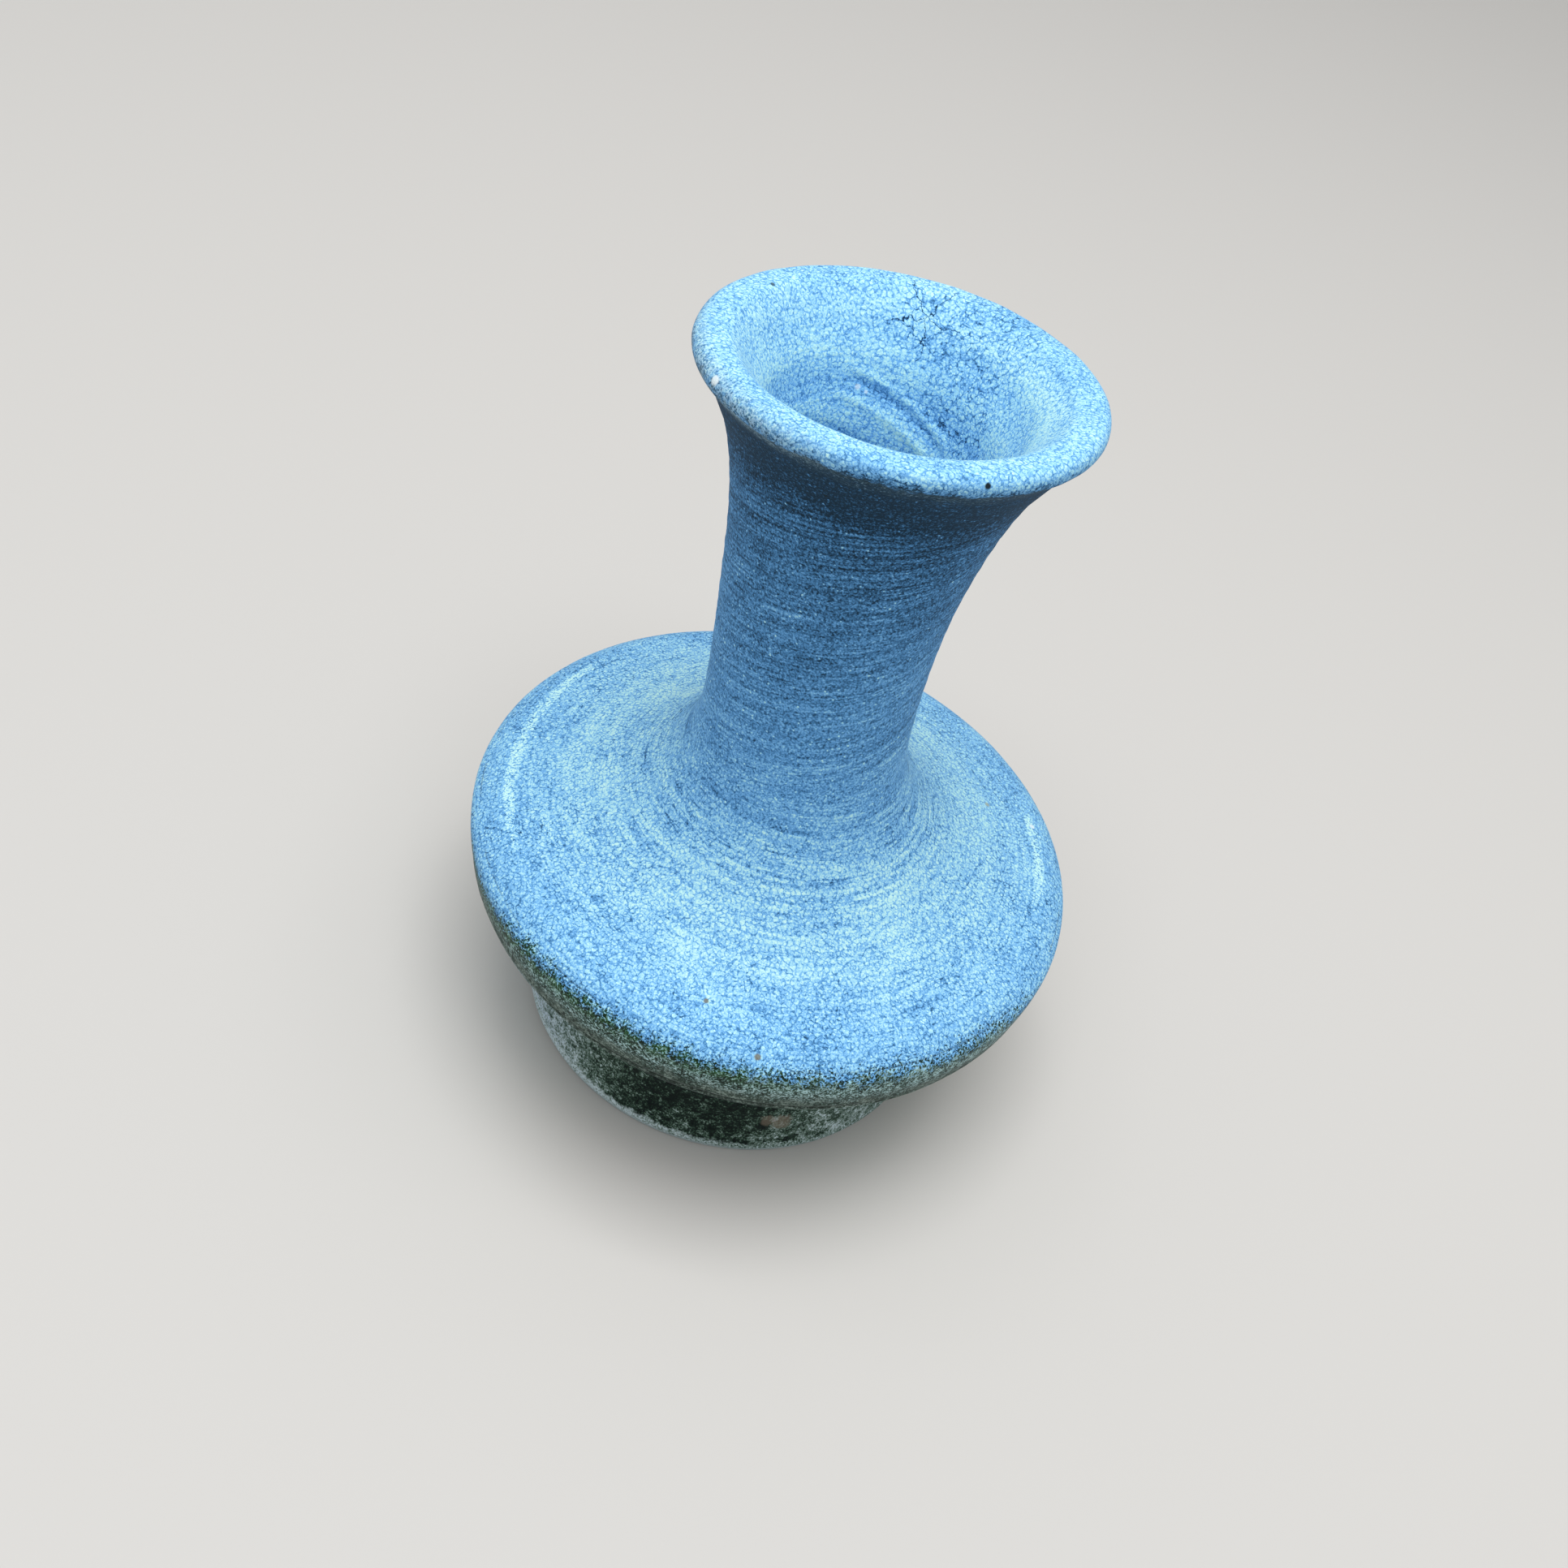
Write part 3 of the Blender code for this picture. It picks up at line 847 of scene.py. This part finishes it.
# Small flaws, each a run in millimetres, a turn in degrees, a radius in millimetres, a strength
# and a colour: on the lip and neck, in the mouth, on the shoulder and on the foot
FLAWS = [(1, -60, 0.35, 1.0, PIT), (8.5, -101, 0.30, 1.0, PIT), (-2, 151, 0.30, 0.8, PIT),
         (1, -141, 0.55, 1.0, CHIP), (3.5, -140, 0.40, 1.0, PIT),
         (-14.5, 112, 0.35, 0.7, CHIP), (-15, 107, 0.25, 0.7, CHIP),
         (84.5, -93, 0.35, 0.8, BROWN_SPECK), (89.5, -81, 0.40, 0.8, BROWN_SPECK),
         (80, 26, 0.40, 0.7, SANDY_SPECK), (87, 22, 0.40, 0.9, CHIP),
         (122, -64, 1.5, 0.55, RUST), (121.5, -68, 1.1, 0.50, RUST)]
# The turn at which the blue's lower edge is highest
BREAK_TURN = math.radians(-78)


def on_pot(run_down, turn):
    """The place on the settled pot at a run in millimetres and a turn in degrees."""
    run, angle = run_down / 1000, math.radians(turn)
    radius, height = station(run, blue_face(run) if run < BLUE_END else GREEN_FACE)
    upright = np.array([[radius * math.cos(angle), radius * math.sin(angle), height]])
    return tuple(float(value) for value in settle(upright)[0])


# Crackle in the mouth: the star on the back wall, the net beside it and the dense patch below
STAR_CENTRE = on_pot(-5, 88)
NET_CENTRE = on_pot(-5.5, 62)
DENSE_CENTRE = on_pot(-14, 51)

speckle, crackle, star = dry_speckle(), crackle_lines(), star_crack()
spot, lines = round_spot(), throwing_lines()


def past_break(tree, run, split):
    """How far a place lies past the blue's edge, lower at the sides and the back than in front."""
    across = calc(tree, "MULTIPLY_ADD", split["X"], math.cos(BREAK_TURN),
                  product(tree, split["Y"], math.sin(BREAK_TURN)))
    facing = calc(tree, "DIVIDE", across, calc(tree, "MAXIMUM", from_axis(tree, split), 0.001))
    break_run = fit(tree, facing, 0.75, 0.35, BELLY - 0.0012, BELLY + 0.0010, smooth=True)
    return calc(tree, "SUBTRACT", run, break_run)


def pot_surface(tree, given):
    """What the coats are worked out from: places on the pot, and the noises that vary them."""
    place, run = given["Place"], given["Run"]
    split = coordinates(tree, place)
    specks = use(tree, speckle, {"Place": place, "Size": 0.00027})
    thrown = use(tree, lines, {"Place": place, "Run": run})
    pot = SimpleNamespace(
        place=place, run=run, mark=given["Mark"], x=split["X"], y=split["Y"],
        past=past_break(tree, run, split), right_front=fit(tree, split["X"], 0.004, 0.016),
        speck=calc(tree, "SUBTRACT", specks["Speck"], 0.5), bright=specks["Bright"],
        grains=specks["Height"], streaks=thrown["Lines"], scored=thrown["Scored"],
        broad=mottle(tree, place, 0.009), middling=mottle(tree, place, 0.0022),
        clumps=mottle(tree, place, 0.0011), grit=mottle(tree, place, 0.00058, 1.0))
    # The run made uneven, by mottling, by the throwing lines and on the lip's rough left side
    outside_streaks = product(tree, pot.streaks, fit(tree, run, 0.002, 0.006))
    rough_side = product(tree, fit(tree, pot.x, -0.012, -0.019, 0.0, 0.0004),
                         fit(tree, run, 0.0, 0.001))
    uneven = layered(tree, run, [(pot.middling, 0.0003), (outside_streaks, 0.0014)])
    pot.uneven = calc(tree, "ADD", uneven, rough_side)
    return pot


def net_of_cracks(tree, pot, cell, width):
    """Hair lines of a width round cells of a size, in metres."""
    return use(tree, crackle, {"Place": pot.place, "Cell": cell, "Width": width})["Lines"]


def spray_tone(tree, pot):
    """How pale the spray is, by its cover with its painted shade under the lip and down the neck, its
    streaks and scores, and its dry grains.
    """
    # The cover holds painted shade under the lip's overhang and down the neck
    cover_and_shade = through(tree, pot.uneven, SPRAY_COVER_AND_SHADE, *SPRAY_SPAN)
    streak_share = through(tree, pot.run, STREAK_SHARE, *SPRAY_SPAN)
    streaks = product(tree, pot.streaks, streak_share)
    score_share = product(tree, streak_share, fit(tree, pot.run, 0.050, 0.058, 0.35, 1.0))
    scores = product(tree, pot.scored, score_share)
    on_neck = product(tree, fit(tree, pot.run, 0.003, 0.010), fall(tree, pot.run, 0.054, 0.066))
    cracks = product(tree, net_of_cracks(tree, pot, 0.00064, 0.000095),
                     fit(tree, pot.grit, -0.6, 0.2, 0.30, 1.0))
    tone = layered(tree, spread(tree, cover_and_shade, 0.01, 0.885),
                   [(pot.broad, 0.020), (pot.middling, 0.022), (streaks, 0.19), (scores, -0.30),
                    (pot.mark, 0.10), (cracks, spread(tree, on_neck, -0.30, -0.14)),
                    (pot.speck, spread(tree, on_neck, 0.47, 0.64)),
                    (pot.bright, spread(tree, on_neck, 0.26, 0.48))])
    return calc(tree, "SUBTRACT", tone, fit(tree, pot.past, -0.0016, 0.0004, 0.0, 0.16))


def painted_ridge_highlight(tree, pot):
    """The painted highlight along the shoulder's ridge, at the left and at the right."""
    at_right = product(tree, fit(tree, pot.x, 0.0315, 0.0340), fit(tree, pot.y, -0.002, 0.006))
    sides = calc(tree, "MAXIMUM", fit(tree, pot.x, -0.0300, -0.0340), at_right)
    return product(tree, fall(tree, gap(tree, pot.run, RIDGE), 0.0003, 0.0011), sides,
                   fit(tree, pot.clumps, -0.8, 0.3, 0.35, 1.0),
                   fit(tree, pot.speck, -0.25, 0.15, 0.08, 0.42))


def spot_at(tree, pot, centre, radius):
    """The mask of a round spot on the pot."""
    return use(tree, spot, {"Place": pot.place, "Centre": centre, "Radius": radius})["Mask"]


def crackle_net(tree, pot):
    """Hair lines: nets in patches on the shoulder and in the mouth, and the star crack there."""
    fine_net = net_of_cracks(tree, pot, 0.0010, 0.00010)
    wide_net = net_of_cracks(tree, pot, 0.0024, 0.00012)
    star_lines = use(tree, star, {"Place": pot.place, "Centre": STAR_CENTRE, "Reach": 0.0060,
                                  "Width": 0.00009})["Lines"]
    broken = fit(tree, pot.clumps, -0.5, 0.3, 0.15, 1.0)
    broken_net = product(tree, fine_net, broken)
    patches = fit(tree, grain(tree, pot.place, 0.007, 3.0), 0.38, 0.60, 0.10, 1.0)
    on_shoulder = product(tree, fit(tree, pot.run, 0.063, 0.072),
                          fall(tree, pot.past, -0.003, -0.0005, 0.2))
    both_nets = calc(tree, "MAXIMUM", product(tree, fine_net, 0.18),
                     product(tree, wide_net, broken, 0.36))
    net = product(tree, both_nets, product(tree, patches, on_shoulder))
    dense = product(tree, spot_at(tree, pot, DENSE_CENTRE, 0.0052), 0.44)
    beside_star = product(tree, spot_at(tree, pot, NET_CENTRE, 0.0075), 0.36)
    round_star = product(tree, spot_at(tree, pot, STAR_CENTRE, 0.0042), 0.42)
    for more in (product(tree, broken_net, dense), product(tree, broken_net, beside_star),
                 product(tree, star_lines, 0.78), product(tree, wide_net, round_star)):
        net = calc(tree, "MAXIMUM", net, more)
    return net


def speckled(tree, pot, contrast, base, colours):
    """Colours from deep to pale, by a base tone and the dry speckle."""
    return ramp(tree, calc(tree, "MULTIPLY_ADD", pot.speck, contrast, base), colours)


def blue_coat(tree, pot, net):
    """The sprayed blue, with the lip's lower rim, thin and chipped, a dark line under its roll that
    is partly painted shade, and its worn left side.
    """
    rim_start = calc(tree, "MULTIPLY_ADD", pot.speck, -0.0012, pot.uneven)
    rough_lip = product(tree, fit(tree, rim_start, 0.0014, 0.0021),
                        fall(tree, pot.uneven, 0.0030, 0.0052),
                        fit(tree, pot.clumps, -0.6, 0.4, 0.20, 0.75))
    # The ridge's pale line is a painted highlight
    tone = calc(tree, "ADD", spray_tone(tree, pot), painted_ridge_highlight(tree, pot))
    blue = ramp(tree, layered(tree, tone, [(net, -0.80), (rough_lip, -0.25)]), BLUES)
    blue = blend(tree, product(tree, rough_lip, 0.6), blue,
                 speckled(tree, pot, 1.9, 0.33, RIM_TEALS))
    # A dark line just under the lip's roll: partly the green showing at the rim, partly painted shade
    # under the lip
    rim_line_and_shade = product(tree, fit(tree, gap(tree, pot.uneven, 0.0026), 0.0001, 0.0005, 0.62, 0.0),
                       fit(tree, pot.clumps, -0.6, 0.3, 0.45, 1.0))
    blue = blend(tree, rim_line_and_shade, blue, RIM_LINE_AND_SHADE)
    worn = product(tree, fit(tree, pot.run, -0.0006, 0.0008), fall(tree, pot.run, 0.0022, 0.0045),
                   fit(tree, pot.x, -0.004, -0.015, 0.0, 0.52), fit(tree, pot.y, 0.006, -0.004),
                   fit(tree, pot.clumps, -0.7, 0.3, 0.3, 1.0))
    return blend(tree, worn, blue, speckled(tree, pot, 1.4, 0.84, RIM_TEALS))


def foot_coat(tree, pot):
    """The green where it thins to grey over the foot: palest at the left, darkest mid-way, and darker
    just under the crease by painted shade.
    """
    wobble = calc(tree, "MULTIPLY_ADD", pot.middling, 0.0025, pot.x)
    sides = through(tree, wobble, FOOT_SIDES, *FOOT_SPAN)
    # Painted shade: darker just under the belly's crease, lighter towards the bottom
    tone = calc(tree, "ADD", spread(tree, sides, -0.02, 0.82),
                fit(tree, pot.run, 0.1140, 0.1255, 0.0, 0.15))
    tone = layered(tree, tone, [(pot.broad, 0.08), (pot.middling, 0.17), (pot.clumps, 0.12),
                                (pot.grit, 0.11), (pot.speck, 0.95)])
    return blend(tree, fit(tree, wobble, -0.014, -0.022, 0.0, 0.55), ramp(tree, tone, FOOT_GREYS),
                 LAVENDER_TINT, kind="MULTIPLY")


def green_coat(tree, pot):
    """The base glaze: deep green next to the blue, olive above the crease, a painted shade line in
    the crease, grey on the foot.
    """
    mottled = layered(tree, product(tree, pot.clumps, 0.20), [(pot.middling, 0.13), (pot.grit, 0.20)])
    tone = calc(tree, "ADD", mottled, spread(tree, pot.right_front, 0.46, 0.54))
    forest = speckled(tree, pot, 1.9, calc(tree, "ADD", mottled, 0.40), FORESTS)
    near_break = product(tree, fall(tree, pot.past, 0.0014, 0.0034),
                         spread(tree, pot.right_front, 1.0, 0.35),
                         fit(tree, pot.clumps, -0.45, 0.15, 0.10, 1.0))
    green = blend(tree, near_break, speckled(tree, pot, 2.1, tone, GREENS), forest)
    olive = speckled(tree, pot, 1.5, calc(tree, "ADD", mottled, 0.44), OLIVES)
    olive_run = calc(tree, "MULTIPLY_ADD", pot.middling, 0.0008, pot.run)
    green = blend(tree, fit(tree, olive_run, CREASE - 0.0040, CREASE - 0.0015), green, olive)
    on_foot = fit(tree, pot.run, CREASE + 0.0002, CREASE + 0.0012)
    green = blend(tree, on_foot, green, foot_coat(tree, pot))
    # Painted shade: a dark line along the crease's groove
    crease_shade = fit(tree, gap(tree, pot.run, CREASE), 0.00014, 0.00042, 0.92, 0.0)
    green = blend(tree, crease_shade, green, CREASE_SHADE)
    pale_edge = fit(tree, calc(tree, "MULTIPLY_ADD", pot.clumps, 0.0003, pot.run), 0.1263, 0.1268)
    edge_tone = fit(tree, pot.x, -0.012, 0.010, 0.98, 0.70)
    return blend(tree, product(tree, pale_edge, 0.92), green,
                 speckled(tree, pot, 1.0, edge_tone, FOOT_GREYS))


def build_finish():
    """The whole pot's finish, by place and run, so that one coat breaks into the next."""
    tree, given, result = group("pot finish", {"Place": "Vector", "Run": "Float", "Mark": "Float"},
                                {"Color": "Color", "Roughness": "Float", "Height": "Float"})
    pot = pot_surface(tree, given)
    net = crackle_net(tree, pot)
    ragged = layered(tree, pot.past, [(pot.middling, 0.00035), (pot.clumps, 0.00040),
                                      (pot.speck, spread(tree, pot.right_front, -0.0034, -0.0056))])
    below = fit(tree, ragged, -0.0006, 0.0006)
    colour = blend(tree, below, blue_coat(tree, pot, net), green_coat(tree, pot))
    for run_down, turn, radius, strength, flaw_colour in FLAWS:
        mask = spot_at(tree, pot, on_pot(run_down, turn), radius / 1000)
        colour = blend(tree, product(tree, mask, strength), colour, flaw_colour)
    dry = calc(tree, "MULTIPLY_ADD", pot.speck, -0.06, 0.88)
    shiny = fit(tree, pot.speck, -0.3, 0.3, 0.46, 0.70)
    feed(tree, result["Color"], colour)
    feed(tree, result["Roughness"], between(tree, below, dry, shiny))
    feed(tree, result["Height"], layered(tree, product(tree, pot.streaks, 0.25),
                                         [(pot.grains, 0.60), (net, -0.50), (pot.middling, 0.15)]))
    return tree


pot_finish = build_finish()


def material(name, roughness, specular):
    """A new material, its tree, its shader's inputs, and the places on its piece."""
    made = bpy.data.materials.new(name)
    made.use_nodes = True
    tree = made.node_tree
    shader = tree.nodes["Principled BSDF"].inputs
    shader["Roughness"].default_value = roughness
    shader["Specular IOR Level"].default_value = specular
    place = tree.nodes.new("ShaderNodeTexCoord").outputs["Object"]
    return made, tree, shader, place


def bump(tree, shader, height, depth):
    """Relief too fine for the mesh, of a depth in metres."""
    node = add(tree, "Bump", {"Height": height, "Distance": depth})
    feed(tree, shader["Normal"], node.outputs["Normal"])


def glaze(name, bump_depth, specular, dust):
    """A coat that takes its finish from the whole pot's, with a dusty sheen at its outline."""
    made, tree, shader, place = material(name, 0.8, specular)
    shader["Sheen Weight"].default_value = dust
    shader["Sheen Roughness"].default_value = 0.45
    shader["Sheen Tint"].default_value = (0.40, 0.68, 1.0, 1)
    run, marks = (add(tree, "Attribute", attribute_name=stored,
                      attribute_type="GEOMETRY").outputs["Fac"] for stored in ("run", "mark"))
    finish = use(tree, pot_finish, {"Place": place, "Run": run, "Mark": marks})
    feed(tree, shader["Base Color"], finish["Color"])
    feed(tree, shader["Roughness"], finish["Roughness"])
    bump(tree, shader, finish["Height"], bump_depth)
    return made


def bare_clay():
    """Fired stoneware: warm grey-brown with iron specks and fine grit, and a smear of glaze."""
    made, tree, shader, place = material("bare_clay", 0.9, 0.3)
    cloud = grain(tree, place, 0.006, 4.0)
    grit = grain(tree, place, 0.0005, 2.0)
    body = ramp(tree, fit(tree, cloud, 0.3, 0.7), CLAYS)
    body = blend(tree, fit(tree, grit, 0.62, 0.70), body, IRON_SPECK)
    radius = from_axis(tree, coordinates(tree, place))
    smeared = fit(tree, calc(tree, "MULTIPLY_ADD", cloud, 0.0008, radius), 0.0291, 0.0295)
    feed(tree, shader["Base Color"], blend(tree, smeared, body, GLAZE_SMEAR))
    feed(tree, shader["Roughness"], fit(tree, grit, 0.3, 0.7, 0.82, 0.95))
    bump(tree, shader, grit, 0.00006)
    return made


def liner_glaze():
    """The dark lining, runny and a little shiny."""
    made, tree, shader, place = material("liner_glaze_finish", 0.35, 0.5)
    cloud = grain(tree, place, 0.004, 4.0)
    feed(tree, shader["Base Color"], ramp(tree, fit(tree, cloud, 0.3, 0.7), LININGS))
    feed(tree, shader["Roughness"], fit(tree, cloud, 0.3, 0.7, 0.30, 0.45))
    bump(tree, shader, cloud, 0.0001)
    return made


clay_finish = bare_clay()
for piece, finish, node, slot in (
        (blue_skin, glaze("sprayed_blue", 0.00006, 0.12, 0.12), "blue_glaze", "blue_glaze"),
        (green_skin, glaze("dark_green", 0.00006, 0.10, 0.04), "green_glaze", "green_glaze"),
        (liner_skin, liner_glaze(), "liner_glaze", "liner_glaze"),
        (clay_lip, clay_finish, "lip", "clay"),
        (foot, clay_finish, "foot_ring", "clay"),
        (bowl, clay_finish, "bowl", "clay")):
    piece.data.materials.append(finish)
    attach(piece, "root")
    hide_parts(node)
for node in ("shoulder", "neck"):
    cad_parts[node].data.materials.clear()
    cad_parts[node].data.materials.append(clay_finish)

# Floor: a plain pale sheet
bpy.ops.object.select_all(action="DESELECT")
bpy.ops.mesh.primitive_plane_add(size=6)
floor = bpy.context.object
floor.name = "floor"
floor_finish, _, floor_shader, _ = material("pale_floor", 0.7, 0.2)
floor_shader["Base Color"].default_value = (0.62, 0.61, 0.59, 1)
floor.data.materials.append(floor_finish)

# Light: a wide soft lamp overhead and a dim even sky
world = bpy.data.worlds.new("studio")
bpy.context.scene.world = world
world.use_nodes = True
sky = world.node_tree
sky_light = sky.nodes["Background"]
sky_light.inputs["Color"].default_value = (1.0, 1.0, 1.0, 1)
sky_light.inputs["Strength"].default_value = 0.42
backdrop = add(sky, "Background", {"Color": (0.80, 0.79, 0.77, 1), "Strength": 1.0})
rays = sky.nodes.new("ShaderNodeLightPath").outputs
seen_ray = calc(sky, "MAXIMUM", rays["Is Camera Ray"],
                calc(sky, "MAXIMUM", rays["Is Glossy Ray"], rays["Is Transmission Ray"]))
choice = add(sky, "MixShader", {0: seen_ray, 1: sky_light.outputs[0], 2: backdrop.outputs[0]})
feed(sky, sky.nodes["World Output"].inputs["Surface"], choice.outputs[0])


def lamp(name, place, aim, size, power):
    """A square soft lamp at a place, turned to where it aims."""
    light = bpy.data.lights.new(name, "AREA")
    light.shape = "SQUARE"
    light.size = size
    light.energy = power
    holder = bpy.data.objects.new(name, light)
    holder.location = place
    holder.rotation_euler = (Vector(aim) - Vector(place)).to_track_quat("-Z", "Y").to_euler()
    bpy.context.scene.collection.objects.link(holder)


lamp("overhead", (0, -0.12, 0.95), (0, 0, 0.05), 0.70, 8.3)

camera_data = bpy.data.cameras.new("camera")
camera_data.sensor_width = SENSOR
camera_data.lens = SENSOR * FOCAL_PIXELS / IMAGE_PIXELS
camera_data.clip_start = 0.005
camera = bpy.data.objects.new("camera", camera_data)
bpy.context.scene.collection.objects.link(camera)
forward = Vector((math.sin(CAMERA_YAW) * math.cos(CAMERA_PITCH),
                  math.cos(CAMERA_YAW) * math.cos(CAMERA_PITCH), -math.sin(CAMERA_PITCH)))
sideways = forward.cross(Vector((0, 0, 1))).normalized()
upward = sideways.cross(forward)
right = math.cos(CAMERA_ROLL) * sideways + math.sin(CAMERA_ROLL) * upward
up = -math.sin(CAMERA_ROLL) * sideways + math.cos(CAMERA_ROLL) * upward
facing = Matrix((right, up, -forward)).transposed().to_4x4()
camera.matrix_world = Matrix.Translation(CAMERA_PLACE) @ facing
bpy.context.scene.camera = camera

bpy.context.scene.view_settings.view_transform = "Standard"
